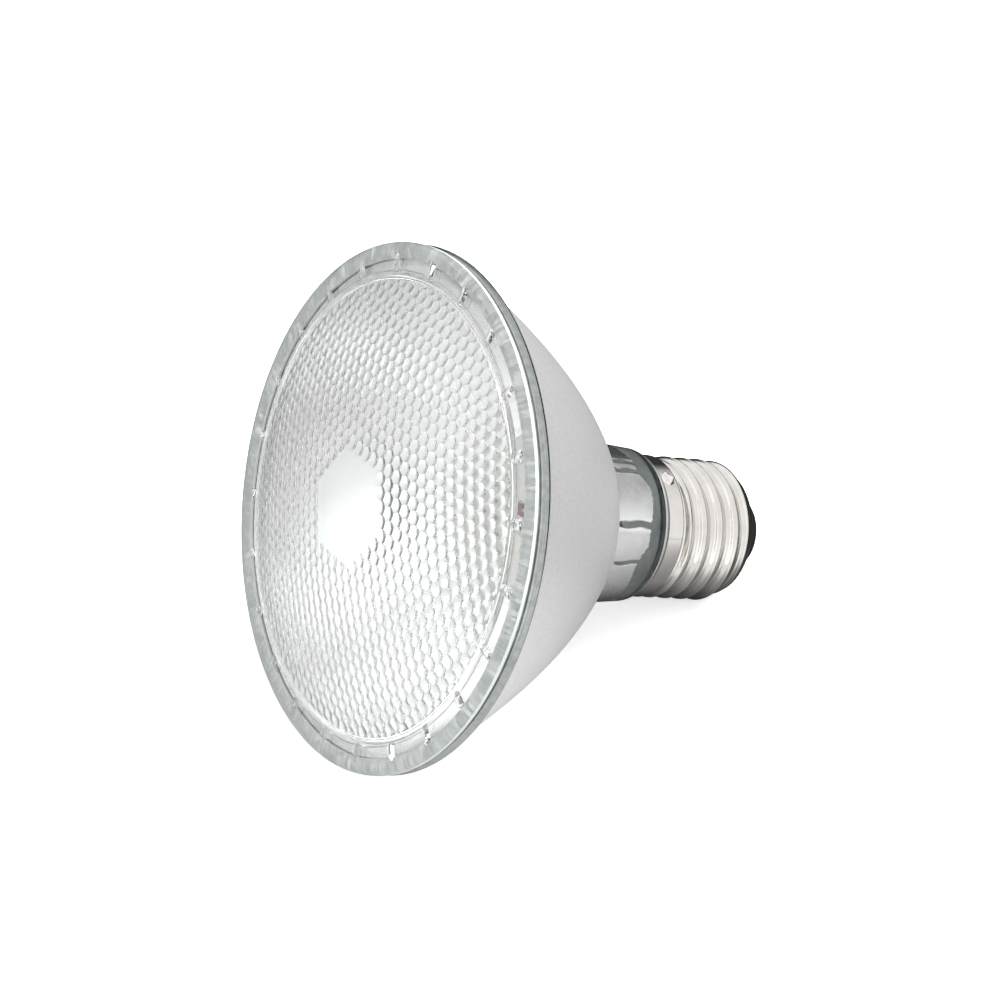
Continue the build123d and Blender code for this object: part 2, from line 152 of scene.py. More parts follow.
def newMaterial(name):
    material = bpy.data.materials.new(name)
    material.use_nodes = True
    nodes = material.node_tree.nodes
    return material, nodes, material.node_tree.links, nodes["Principled BSDF"]


# Noise in the object's own metres.
def grainNode(nodes, links, scale, detail=3.0, stretch=(1, 1, 1)):
    place = nodes.new("ShaderNodeTexCoord")
    mapping = nodes.new("ShaderNodeMapping")
    mapping.inputs["Scale"].default_value = stretch
    grain = nodes.new("ShaderNodeTexNoise")
    grain.inputs["Scale"].default_value = scale
    grain.inputs["Detail"].default_value = detail
    links.new(place.outputs["Object"], mapping.inputs["Vector"])
    links.new(mapping.outputs["Vector"], grain.inputs["Vector"])
    return grain


def bumpFrom(nodes, links, source, shader, strength, distance):
    bump = nodes.new("ShaderNodeBump")
    bump.inputs["Strength"].default_value = strength
    bump.inputs["Distance"].default_value = distance
    links.new(source.outputs[0], bump.inputs["Height"])
    links.new(bump.outputs["Normal"], shader.inputs["Normal"])
    return bump


def colourBetween(nodes, links, source, shader, dark, light, low=0.35, high=0.65):
    ramp = nodes.new("ShaderNodeValToRGB")
    ramp.color_ramp.elements[0].position = low
    ramp.color_ramp.elements[1].position = high
    ramp.color_ramp.elements[0].color = (*dark, 1)
    ramp.color_ramp.elements[1].color = (*light, 1)
    links.new(source.outputs[0], ramp.inputs["Fac"])
    links.new(ramp.outputs["Color"], shader.inputs["Base Color"])


# Carries a value from one span over to another.
def spanNode(nodes, links, source, fromSpan, toSpan, easing="SMOOTHSTEP"):
    spread = nodes.new("ShaderNodeMapRange")
    spread.interpolation_type = easing
    spread.inputs["From Min"].default_value, spread.inputs["From Max"].default_value = fromSpan
    spread.inputs["To Min"].default_value, spread.inputs["To Max"].default_value = toSpan
    links.new(source, spread.inputs["Value"])
    return spread


def roughBetween(nodes, links, source, shader, low, high):
    spread = spanNode(nodes, links, source.outputs[0], (0, 1), (low, high), "LINEAR")
    links.new(spread.outputs["Result"], shader.inputs["Roughness"])


def mathNode(nodes, links, operation, first, second):
    step = nodes.new("ShaderNodeMath")
    step.operation = operation
    links.new(first, step.inputs[0])
    if isinstance(second, (int, float)):
        step.inputs[1].default_value = second
    else:
        links.new(second, step.inputs[1])
    return step.outputs["Value"]


def mixShaders(nodes, links, share, first, second):
    mix = nodes.new("ShaderNodeMixShader")
    links.new(share, mix.inputs["Fac"])
    links.new(first, mix.inputs[1])
    links.new(second, mix.inputs[2])
    return mix.outputs["Shader"]


glassLook = {
    "tint": (1.0, 1.0, 1.0), "index": 1.5, "density": 6.0, "body": (0.93, 0.94, 0.938),
    "ripple": 90.0, "rippleDepth": 0.00002, "relief": 0.5,
}


# Pressed glass: nearly clear, with the slow ripples that a mould leaves.
def glassMaterial(name, rough=(0.0, 0.01), grainScale=None, grainDepth=0.0):
    material, nodes, links, shader = newMaterial(name)
    shader.inputs["Base Color"].default_value = (*glassLook["tint"], 1)
    shader.inputs["Transmission Weight"].default_value = 1.0
    shader.inputs["IOR"].default_value = glassLook["index"]
    ripple = grainNode(nodes, links, grainScale or glassLook["ripple"])
    roughBetween(nodes, links, ripple, shader, *rough)
    bumpFrom(nodes, links, ripple, shader, glassLook["relief"], grainDepth or glassLook["rippleDepth"])
    absorb = nodes.new("ShaderNodeVolumeAbsorption")
    absorb.inputs["Color"].default_value = (*glassLook["body"], 1)
    absorb.inputs["Density"].default_value = glassLook["density"]
    links.new(absorb.outputs["Volume"], nodes["Material Output"].inputs["Volume"])
    return material


# An opaque finish, with fine grain in its colour, its gloss and its surface.
def plainMaterial(name, dark, light, rough, scale=900.0, depth=0.00002, metallic=0.0, relief=0.3):
    material, nodes, links, shader = newMaterial(name)
    shader.inputs["Metallic"].default_value = metallic
    grain = grainNode(nodes, links, scale, detail=4.0)
    colourBetween(nodes, links, grain, shader, dark, light)
    roughBetween(nodes, links, grain, shader, *rough)
    bumpFrom(nodes, links, grain, shader, relief, depth)
    return material


def metalMaterial(name, dark, light, rough, scale, depth, metallic=1.0):
    return plainMaterial(name, dark, light, rough, scale, depth, metallic, relief=0.4)


clearGlass = glassMaterial("clearGlass")
frostedGlass = glassMaterial("frostedGlass", rough=(0.19, 0.25), grainScale=2500.0, grainDepth=0.00001)

# Dark and light colour, least and most roughness, size and depth of the grain, and how metallic.
metalLooks = {
    "satinSilver": ((0.80, 0.80, 0.80), (0.88, 0.88, 0.88), (0.4, 0.5), 1800.0, 0.00001, 0.55),
    "silverFilm": ((0.90, 0.905, 0.905), (0.94, 0.945, 0.945), (0.1, 0.2), 500.0, 0.00001),
    "flangeSilver": ((0.34, 0.36, 0.355), (0.44, 0.46, 0.455), (0.16, 0.24), 700.0, 0.00001),
    "nickelPlate": ((0.70, 0.675, 0.645), (0.78, 0.755, 0.725), (0.06, 0.14), 260.0, 0.00001),
    "solderMetal": ((0.78, 0.70, 0.68), (0.90, 0.85, 0.83), (0.08, 0.2), 900.0, 0.00004),
}
plainLooks = {
    # The first finish below is painted shade, for the dark sheet inside the neck past the coating.
    "paintedNeckShade": ((0.16, 0.18, 0.172), (0.22, 0.245, 0.235), (0.2, 0.3), 300.0),
    "shoulderGlass": ((0.42, 0.45, 0.44), (0.50, 0.53, 0.52), (0.05, 0.1), 300.0),
    "blackGlass": ((0.006, 0.006, 0.008), (0.02, 0.02, 0.024), (0.04, 0.1), 300.0),
    "bondedBack": ((0.66, 0.70, 0.69), (0.71, 0.75, 0.74), (0.25, 0.4), 120.0, 0.000005),
    # The darker seal finish is painted shade: a shaded copy of the seal rubber, for the rows in the gap
    # between rim and flange.
    "sealPaintedShade": ((0.16, 0.18, 0.175), (0.24, 0.26, 0.255), (0.4, 0.5), 500.0, 0.00004),
    "sealRubber": ((0.72, 0.76, 0.75), (0.82, 0.86, 0.85), (0.3, 0.45), 500.0, 0.00004),
}
finishes = {name: metalMaterial(name, *look) for name, look in metalLooks.items()}
finishes.update({name: plainMaterial(name, *look) for name, look in plainLooks.items()})
print("finishes made:", len(finishes))


# Front lens

lensValues = {
    "rimRadius": 47.3, "rimThickness": 1.8, "rimRound": 1.2, "backRound": 0.35,
    "domeRadius": 41.3, "domeRise": 7.8, "wall": 2.4, "fieldRadius": 40.4, "fieldStep": 0.6,
    "cellPitch": 2.45, "cellHeight": 0.34, "clearRadius": 10.5, "cellTurn": 14.7, "cellSplits": 4,
    "padCount": 24, "padStart": 41.9, "padLength": 3.4, "padWidth": 1.5, "padHeight": 0.5, "padTurn": 8.3,
    "mouldLines": (41.15, 41.6, 42.05), "mouldLineDepth": 0.12, "mouldLineWidth": 0.16,
    "sideGroove": (0.0, 0.07, 0.07, 0.0), "grooveStep": 0.06, "bondStart": 44.2, "bondEnd": 1.1,
    "columns": 720, "backRoundRows": 5, "rimRoundRows": 9, "stepWidth": 0.2, "stepShares": (0.25, 0.6, 1.0),
    "linedBack": (40.8, 43.0, 0.16), "plainBack": (43.4, 44.4, 45.6), "padRows": (45.8, 41.55, -0.24),
    "domeFoot": ((41.45, -0.02), (41.3, -0.06)),
    "domeRows": (41.15, 40.9, 40.4, 39, 36, 32, 27, 21, 15, 9, 4),
}


def domeFront(r):
    v = lensValues
    curve = (v["domeRadius"] ** 2 + v["domeRise"] ** 2) / (2 * v["domeRise"])
    return curve - v["domeRise"] - np.sqrt(curve**2 - r**2)


def domeBack(r):
    v = lensValues
    rise = v["rimThickness"] - v["fieldStep"] + v["domeRise"] - v["wall"]
    curve = (v["fieldRadius"] ** 2 + rise**2) / (2 * rise)
    return curve - v["domeRise"] + v["wall"] - np.sqrt(curve**2 - r**2)


# Height of the moulded cells over their base: each is a round cap on its own hexagon.
def cellBump(x, y):
    v = lensValues
    pitch = v["cellPitch"]
    row = y / (pitch * math.sqrt(3) / 2)
    column = x / pitch - row / 2
    nearest = np.full(x.shape, 1e9)
    cellDistance = np.zeros(x.shape)
    for i in (0, 1):
        for j in (0, 1):
            a, b = np.floor(column) + i, np.floor(row) + j
            cx, cy = pitch * (a + b / 2), pitch * b * math.sqrt(3) / 2
            away = np.hypot(x - cx, y - cy)
            closer = away < nearest
            nearest = np.where(closer, away, nearest)
            cellDistance = np.where(closer, np.hypot(cx, cy), cellDistance)
    reach = pitch / math.sqrt(3)
    cap = v["cellHeight"] * np.clip(1 - (nearest / reach) ** 2, 0, 1)
    return np.where(cellDistance > v["clearRadius"], cap, 0.0)


# Points and triangles of the moulded field, with its edge moved onto the field's circle.
def cellField():
    v = lensValues
    side = v["cellPitch"] / math.sqrt(3) / v["cellSplits"]
    count = int(v["fieldRadius"] / (side * math.sqrt(3) / 2)) + 3
    a, b = np.meshgrid(np.arange(-count, count + 1), np.arange(-2 * count, 2 * count + 1), indexing="ij")
    x = side * math.cos(math.radians(30)) * a
    y = side * (a / 2 + b)
    inside = np.hypot(x, y) <= v["fieldRadius"]
    number = np.full(x.shape, -1)
    number[inside] = np.arange(inside.sum())
    first = np.stack((number[:-1, :-1], number[1:, :-1], number[:-1, 1:]), -1).reshape(-1, 3)
    second = np.stack((number[1:, :-1], number[1:, 1:], number[:-1, 1:]), -1).reshape(-1, 3)
    triangles = np.concatenate((first, second))
    triangles = triangles[(triangles >= 0).all(axis=1)]
    used = np.unique(triangles)
    renumber = np.full(inside.sum(), -1)
    renumber[used] = np.arange(len(used))
    triangles = renumber[triangles]
    x, y = x[inside][used], y[inside][used]
    z = domeBack(np.hypot(x, y)) + cellBump(x, y)

    edges = np.sort(np.concatenate((triangles[:, :2], triangles[:, 1:], triangles[:, ::2])), axis=1)
    pairs, uses = np.unique(edges, axis=0, return_counts=True)
    border = np.unique(pairs[uses == 1])
    angle = np.arctan2(y[border], x[border])
    x[border] = v["fieldRadius"] * np.cos(angle)
    y[border] = v["fieldRadius"] * np.sin(angle)
    z[border] = domeBack(v["fieldRadius"])
    return turnPoints(x, y, z, v["cellTurn"]), triangles, border


# Triangles between two rings with different numbers of points.
def zipTogether(inner, innerAngles, outer, outerAngles):
    inner, outer = inner[np.argsort(innerAngles)], outer[np.argsort(outerAngles)]
    innerAngles, outerAngles = np.sort(innerAngles), np.sort(outerAngles)
    innerAngles = np.append(innerAngles, innerAngles[0] + 2 * np.pi)
    outerAngles = np.append(outerAngles, outerAngles[0] + 2 * np.pi)
    triangles = []
    i = j = 0
    while i < len(inner) or j < len(outer):
        a, b = inner[i % len(inner)], outer[j % len(outer)]
        if j == len(outer) or (i < len(inner) and innerAngles[i + 1] < outerAngles[j + 1]):
            triangles.append((a, b, inner[(i + 1) % len(inner)]))
            i += 1
        else:
            triangles.append((a, b, outer[(j + 1) % len(outer)]))
            j += 1
    return triangles


# The rounded pads that stand on the rim's front.
def padHeightAt(r, angles):
    v = lensValues
    step = 2 * np.pi / v["padCount"]
    offset = (angles - math.radians(v["padTurn"]) + step / 2) % step - step / 2
    halfWidth, middle = v["padWidth"] / 2, v["padStart"] + v["padLength"] / 2
    beyond = max(abs(r - middle) - (v["padLength"] / 2 - halfWidth), 0.0)
    share = np.hypot(beyond, r * offset) / halfWidth
    return v["padHeight"] * np.sqrt(np.clip(1 - share**2, 0, 1))


# The rim's back, with fine lines left by the mould's turned face.
def rimBack(r):
    v = lensValues
    lines = sum(math.exp(-(((r - line) / v["mouldLineWidth"]) ** 2)) for line in v["mouldLines"])
    return v["rimThickness"] - v["mouldLineDepth"] * lines


def buildLens():
    v = lensValues
    rim, back, bend = v["rimRadius"], v["rimThickness"], v["backRound"]
    angles = wheel(v["columns"])
    rings = []
    base = domeBack(v["fieldRadius"])
    for share in v["stepShares"]:
        rings.append((v["fieldRadius"] + v["stepWidth"] * share, base + (back - base) * share))
    rings += [(r, rimBack(r)) for r in np.arange(*v["linedBack"])]
    rings += [(r, back) for r in v["plainBack"]]
    rings += [(rim - bend + bend * math.sin(t), back - bend + bend * math.cos(t))
              for t in np.linspace(0, math.pi / 2, v["backRoundRows"])]
    rings += [(rim - depth, back - bend - v["grooveStep"] * k) for k, depth in enumerate(v["sideGroove"], 1)]
    bend = v["rimRound"]
    rings += [(rim - bend + bend * math.cos(t), bend - bend * math.sin(t))
              for t in np.linspace(0, math.pi / 2, v["rimRoundRows"])]
    rings += [(r, None) for r in np.arange(*v["padRows"])]  # their height follows the pads
    rings += v["domeFoot"]
    rings += [(r, domeFront(r)) for r in v["domeRows"]]

    points, triangles, border = cellField()
    start = len(points)
    blocks = [points]
    for r, z in rings:
        blocks.append(ringOf(r, -padHeightAt(r, angles) if z is None else z, angles))
    blocks.append(np.array([[0, 0, -v["domeRise"]]]))
    borderAngles = np.arctan2(points[border][:, 1], points[border][:, 0]) % (2 * np.pi)
    firstRing = start + np.arange(v["columns"])
    faces = [tuple(t) for t in triangles]
    faces += zipTogether(border, borderAngles, firstRing, angles)
    rimStart = len(faces)
    faces += [tuple(q) for q in joinRings(len(rings), v["columns"], False, start)]
    lastRing = start + (len(rings) - 1) * v["columns"] + np.arange(v["columns"])
    apex = start + len(rings) * v["columns"]
    faces += [(a, b, apex) for a, b in zip(lastRing, np.roll(lastRing, -1))]
    firstBonded = next(k for k, (r, z) in enumerate(rings) if r > v["bondStart"])
    pastBonded = next(k for k, (r, z) in enumerate(rings) if k > firstBonded and z < v["bondEnd"])
    finish = np.zeros(len(faces), int)
    finish[:len(triangles)] = 1
    finish[rimStart + firstBonded * v["columns"]:rimStart + pastBonded * v["columns"]] = 2
    glasses = [clearGlass, frostedGlass, finishes["bondedBack"]]
    return makePiece("lensGlass", np.concatenate(blocks), faces, glasses, "front_lens",
                     sharpAngle=24, faceMaterials=finish)


buildLens()


# Seal

sealValues = {
    "outer": 46.75, "width": 2.4, "thickness": 0.55, "bulge": 0.1, "innerBulge": 0.08, "wander": 0.12,
    "columns": 360,
}


def buildSeal():
    v = sealValues
    angles = wheel(v["columns"])
    start, end = lensValues["rimThickness"], lensValues["rimThickness"] + v["thickness"]
    inner, middle = v["outer"] - v["width"], (start + end) / 2
    edge = v["outer"] - v["bulge"]
    loop = [(inner, start), (edge, start), (v["outer"], middle), (edge, end), (inner, end),
            (inner - v["innerBulge"], middle)]
    wander = v["wander"] * (np.sin(7 * angles + 1) + np.sin(13 * angles) + np.sin(31 * angles + 2)) / 3
    points = np.concatenate([ringOf(r + wander * (r >= edge), z, angles) for r, z in loop])
    faces = joinRings(len(loop), v["columns"], closed=True)
    row = np.repeat(np.arange(len(loop)), v["columns"])
    # Painted shade: the two rows in the gap between rim and flange take the darker copy of the seal rubber.
    outside = ((row == 1) | (row == 2)).astype(int)  # the two rows that show between rim and flange
    return makePiece("sealBead", points, faces, [finishes["sealRubber"], finishes["sealPaintedShade"]],
                     "lens_seal", faceMaterials=outside)


buildSeal()


# Reflector bowl and neck

bowlValues = {
    "flangeRadius": 47.2, "flangeFront": 2.35, "flangeBack": 4.4, "flangeRound": 0.6, "mouthRadius": 44.2,
    "bowlRadius": 45.6, "footRadius": 20.3, "foot": 38.6, "wall": 2.1, "footRound": 1.6,
    "neckTopRadius": 15.2, "neckTop": 41.9, "neckEndRadius": 14.1, "neckEnd": 55.2, "neckShoulder": 2.0,
    "tailRadius": 11.3, "tailWall": 1.8, "tailEnd": 66.0, "tailRound": 0.4, "tailCorner": 0.3,
    "innerRound": 0.8, "columns": 288, "curveSteps": 22, "shoulderLead": 0.2,
    "flangeLines": (  # depth and station of each row
        (0.0, 3.05), (0.07, 3.11), (0.07, 3.17), (0.0, 3.23), (0.0, 3.5), (0.05, 3.56), (0.0, 3.62),
    ),
}


def parabolaPoints(start, end, steps):
    (r0, z0), (r1, z1) = start, end
    shares = np.linspace(0, 1, steps + 1)[1:-1]
    stations = z0 + (z1 - z0) * shares
    return [(math.sqrt(r0**2 + (r1**2 - r0**2) * (z - z0) / (z1 - z0)), z) for z in stations]


# Where the bowl's inside ends at the neck.
def innerFoot():
    v = bowlValues
    squares = v["bowlRadius"] ** 2 - v["footRadius"] ** 2
    lean = math.atan(squares / (v["foot"] - v["flangeBack"]) / (2 * v["footRadius"]))
    return v["footRadius"] - v["wall"] * math.cos(lean), v["foot"] - v["wall"] * math.sin(lean)


def neckInner(z):
    v = bowlValues
    share = (z - v["neckTop"]) / (v["neckEnd"] - v["neckTop"])
    return v["neckTopRadius"] + (v["neckEndRadius"] - v["neckTopRadius"]) * share - v["wall"]


# Where the neck's inside starts.
def neckRoot():
    return bowlValues["neckTop"] - bowlValues["wall"] / 2


def buildBowl():
    v = bowlValues
    foot, inner = (v["footRadius"], v["foot"]), innerFoot()
    neckInside = v["neckEnd"] - v["neckShoulder"]
    tailInner = v["tailRadius"] - v["tailWall"]
    outerWall = parabolaPoints((v["bowlRadius"], v["flangeBack"]), foot, v["curveSteps"])
    innerWall = parabolaPoints(inner, (v["mouthRadius"], v["flangeFront"]), v["curveSteps"])
    corners = [
        (v["mouthRadius"], v["flangeFront"], 0),
        (v["flangeRadius"], v["flangeFront"], v["flangeRound"]),
        *[(v["flangeRadius"] - depth, z, 0) for depth, z in v["flangeLines"]],
        (v["flangeRadius"], v["flangeBack"], v["flangeRound"]),
        (v["bowlRadius"], v["flangeBack"], 0),
        *[(r, z, 0) for r, z in outerWall],
        (*foot, v["footRound"]),
        (v["neckTopRadius"], v["neckTop"], v["footRound"]),
        (v["neckEndRadius"], v["neckEnd"], v["neckShoulder"]),
        (v["tailRadius"], v["neckEnd"], v["tailCorner"]),
        (v["tailRadius"], v["tailEnd"], v["tailRound"]),
        (tailInner, v["tailEnd"], v["tailRound"]),
        (tailInner, v["neckEnd"], v["tailCorner"]),
        (neckInner(neckInside), neckInside, v["innerRound"]),
        (neckInner(neckRoot()), neckRoot(), v["innerRound"]),
        (*inner, v["footRound"]),
        *[(r, z, 0) for r, z in innerWall],
    ]
    loop = roundedLoop(corners)
    wallStart = int(np.abs(loop - (v["bowlRadius"], v["flangeBack"])).sum(axis=1).argmin())
    wallEnd = int(np.abs(loop - foot).sum(axis=1).argmin())
    shoulder = next(k for k in range(wallEnd, len(loop)) if loop[k][1] > neckInside + v["shoulderLead"])
    tail = int(np.abs(loop - (tailInner, v["neckEnd"])).sum(axis=1).argmin())
    looks = [clearGlass, finishes["flangeSilver"], finishes["satinSilver"], clearGlass,
             finishes["shoulderGlass"]]
    turnedPiece("bowlGlass", loop, v["columns"], looks, "reflector_bowl",
                sharpAngle=30, marks=(1, wallStart, wallEnd, shoulder, tail))


buildBowl()


# Silver coating on the inside of the glass

coatValues = {
    "columns": 360, "sunk": 0.05, "thick": 0.1, "front": 2.6, "frontGap": 0.05, "steps": 26,
    "edge": (  # angle and station of the masked line
        (0, 49.8), (60, 51.2), (120, 50.4), (150, 48.6), (165, 49.6), (176, 50.1), (185, 49.4), (193, 50.5),
        (201, 51.6), (212, 51.6), (222, 51.2), (232, 50.7), (248, 51.0), (256, 49.9), (268, 49.4),
        (296, 50.6), (325, 50.9),
    ),
    "edgeRagged": 0.16, "edgeRows": 9, "edgeRun": 3,
    "creases": ((231, 0.28, 1.6), (186, 0.2, 1.2), (176, 0.16, 1.0), (262, 0.16, 1.2)),  # angle, lift, width
    "creaseWander": 0.8, "creaseFade": 3.0,
    "bandStart": 43.9, "bandSunk": 0.02, "bandThick": 0.15, "bandRows": 12, "bandTurn": (1.4, 0.9),
}


# Where the coating ends in the neck: a hand-masked, wavy line.
def coatEdge(angles):
    v = coatValues
    places, stations = zip(*v["edge"])
    ragged = np.sin(37 * angles) * np.sin(29 * angles + 1) + 0.6 * np.sin(81 * angles + 2)
    return np.interp(np.degrees(angles), places, stations, period=360) + v["edgeRagged"] * ragged


# How far the film stands off the glass: it lifts in a few creases along the neck.
def coatLift(angles, station):
    v = coatValues
    turned = np.degrees(angles) - v["creaseWander"] * np.sin(station)
    along = ease((station - bowlValues["neckTop"]) / v["creaseFade"])
    lifts = [lift * np.exp(-(((turned - place) / width) ** 2)) for place, lift, width in v["creases"]]
    return along * sum(lifts)


def buildCoat():
    v, b = coatValues, bowlValues
    angles = wheel(v["columns"])
    inner = innerFoot()
    wall = [(b["mouthRadius"] - v["frontGap"], v["front"])]
    wall += parabolaPoints((b["mouthRadius"], b["flangeFront"]), inner, v["steps"])[1:]
    wall = [(r, z) for r, z in wall if z > v["front"]]
    root, straight = neckRoot(), neckRoot() + v["edgeRun"]
    corner = roundedLoop([(*wall[-1], 0), (*inner, b["footRound"]), (neckInner(root), root, b["innerRound"]),
                          (neckInner(straight), straight, 0)])
    shape = [(b["mouthRadius"], v["front"])] + wall[:-1] + [tuple(p) for p in corner]
    edge = coatEdge(angles)
    outside, inside = [], []
    for offset, rows in ((v["sunk"], outside), (v["sunk"] - v["thick"], inside)):
        rows += [ringOf(r + offset, z, angles) for r, z in shape]
        for share in np.linspace(0, 1, v["edgeRows"])[1:]:
            stations = shape[-1][1] + (edge - shape[-1][1]) * share
            rows.append(ringOf(neckInner(stations) + offset - coatLift(angles, stations), stations, angles))
    rings = outside + inside[::-1]
    faces = joinRings(len(rings), v["columns"], closed=True)
    return makePiece("silverCoat", np.concatenate(rings), faces, [finishes["silverFilm"]],
                     sharpAngle=50)


# Painted shade: a dark sheet inside the neck, seen through the bare glass past the coating, where the inside
# of the neck lies in shade.
def buildPaintedNeckShade():
    v, b = coatValues, bowlValues
    shoulder = b["neckEnd"] - b["neckShoulder"]
    stations = np.linspace(v["bandStart"], shoulder, v["bandRows"])
    outside = [(neckInner(z) + v["bandSunk"], z) for z in stations]
    reach, rise = v["bandTurn"]
    outside += [(b["tailRadius"] - b["tailWall"] + reach, shoulder + rise)]  # turned in under the shoulder
    loop = outside + [(r - v["bandThick"], z) for r, z in outside[::-1]]
    turnedPiece("neckPaintedShade", np.array(loop), v["columns"], [finishes["paintedNeckShade"]])


buildCoat()
buildPaintedNeckShade()


# Screw cap

capValues = {
    "skirtStart": 55.3, "skirtEnd": 59.4, "skirtRadius": 13.25, "wall": 0.35, "crest": 13.2, "depth": 1.15,
    "pitch": 3.629, "firstCrest": 61.6, "threadEnd": 73.4, "noseStart": 75.8, "noseRadius": 11.7,
    "noseEnd": 78.75, "noseEndRadius": 8.5, "toolLines": 5, "toolLine": 0.05, "skirtBend": 0.9,
    "columns": 240, "rowStep": 0.12,
}


# Outside of the rolled shell: skirt, right-hand round thread, conical nose.
def shellRadius(z, angles):
    v = capValues
    turns = (z - v["firstCrest"]) / v["pitch"] - angles / (2 * np.pi)
    knuckle = v["crest"] - v["depth"] / 2 * (1 - np.cos(2 * np.pi * turns))
    root = v["crest"] - v["depth"]
    start = ease((z - v["skirtEnd"]) / (v["pitch"] / 3))
    bend = ease((z - v["skirtEnd"] + v["skirtBend"]) / v["skirtBend"])
    body = v["skirtRadius"] + (root - v["skirtRadius"]) * bend
    lines = v["toolLine"] * np.cos(2 * np.pi * v["toolLines"] * turns)
    radius = body + (knuckle - root + lines) * start * (z > v["skirtEnd"])
    runOut = ease((z - v["threadEnd"]) / (v["noseStart"] - v["threadEnd"]))
    radius = radius + (v["noseRadius"] - radius) * runOut
    if z > v["noseStart"]:
        share = (z - v["noseStart"]) / (v["noseEnd"] - v["noseStart"])
        radius = np.full(angles.shape, v["noseRadius"] + (v["noseEndRadius"] - v["noseRadius"]) * share)
    return radius


def buildShell():
    v = capValues
    angles = wheel(v["columns"])
    stations = np.append(np.arange(v["skirtStart"], v["noseEnd"], v["rowStep"]), v["noseEnd"])
    outside = [ringOf(shellRadius(z, angles), z, angles) for z in stations]
    inside = [ringOf(shellRadius(z, angles) - v["wall"], z, angles) for z in stations[::2]]
    rings = outside + inside[::-1]
    faces = joinRings(len(rings), v["columns"], closed=True)
    return makePiece("capShell", np.concatenate(rings), faces, [finishes["nickelPlate"]],
                     "cap_shell", sharpAngle=50)


buildShell()


# Insulator and centre contact

endValues = {
    "seat": 81.1, "insulatorRadius": 6.4, "bore": 1.0, "inset": 2.6, "insulatorRound": 0.5,
    "insulatorRim": 0.5, "insulatorSpread": 2.2, "lipGap": 0.05, "lipRound": 0.04,
    "contactRadius": 4.8, "contactRim": 0.4, "contactFlat": 2.6, "contactRound": 0.7, "contactBase": 0.12,
    "contactEdge": 0.15, "contactLean": 0.05, "contactSlope": 0.4, "axisGap": 0.02, "columns": 160,
}


def buildInsulator():
    v, c = endValues, capValues
    inside = c["noseEndRadius"] - v["insulatorRim"]
    loop = roundedLoop([
        (v["bore"], c["noseEnd"] - v["inset"], 0),
        (inside + v["insulatorSpread"], c["noseEnd"] - v["inset"], 0),
        (inside, c["noseEnd"], 0),
        (c["noseEndRadius"] - v["lipGap"], c["noseEnd"], v["lipRound"]),
        (v["insulatorRadius"], v["seat"], v["insulatorRound"]),
        (v["bore"], v["seat"], 0),
    ])
    turnedPiece("insulatorGlass", loop, v["columns"], [finishes["blackGlass"]],
                "cap_insulator")


def buildContact():
    v = endValues
    loop = roundedLoop([
        (v["axisGap"], v["seat"], 0),
        (v["contactRadius"], v["seat"], v["contactBase"]),
        (v["contactRadius"] - v["contactLean"], v["seat"] + v["contactRim"], v["contactEdge"]),
        (v["contactFlat"] + v["contactSlope"], tipStation, v["contactRound"]),
        (v["axisGap"], tipStation, 0),
    ])
    turnedPiece("contactButton", loop, v["columns"], [finishes["nickelPlate"]], "centre_contact")


buildInsulator()
buildContact()


# Solder on the skirt's edge

solderValues = {"angle": 189.5, "radius": 1.45, "proud": 0.85, "sink": 0.35, "lumps": 0.17}


# A drop that flowed a little unevenly, half sunk in the skirt.
def buildSolder():
    v, c = solderValues, capValues
    ball = bmesh.new()
    bmesh.ops.create_icosphere(ball, subdivisions=4, radius=1.0)
    points = np.array([p.co[:] for p in ball.verts])
    faces = [[p.index for p in f.verts] for f in ball.faces]
    ball.free()
    lumps = np.sin(3 * points[:, 1] + 1) * np.sin(4 * points[:, 2])
    lumps += 0.5 * np.sin(7 * points[:, 1] + 2 * points[:, 2])
    points = points * (1 + v["lumps"] * lumps[:, None])
    high = v["proud"] + v["sink"]
    sized = np.column_stack((points[:, 0] * high, points[:, 1] * v["radius"], points[:, 2] * v["radius"]))
    x, z = c["skirtRadius"] - v["sink"] + sized[:, 0], c["skirtStart"] + v["radius"] + sized[:, 2]
    placed = turnPoints(x, sized[:, 1], z, v["angle"])
    return makePiece("solderDrop", placed, faces, [finishes["solderMetal"]], "solder_spot",
                     sharpAngle=60)


buildSolder()


# Inner pieces, which keep their own shape

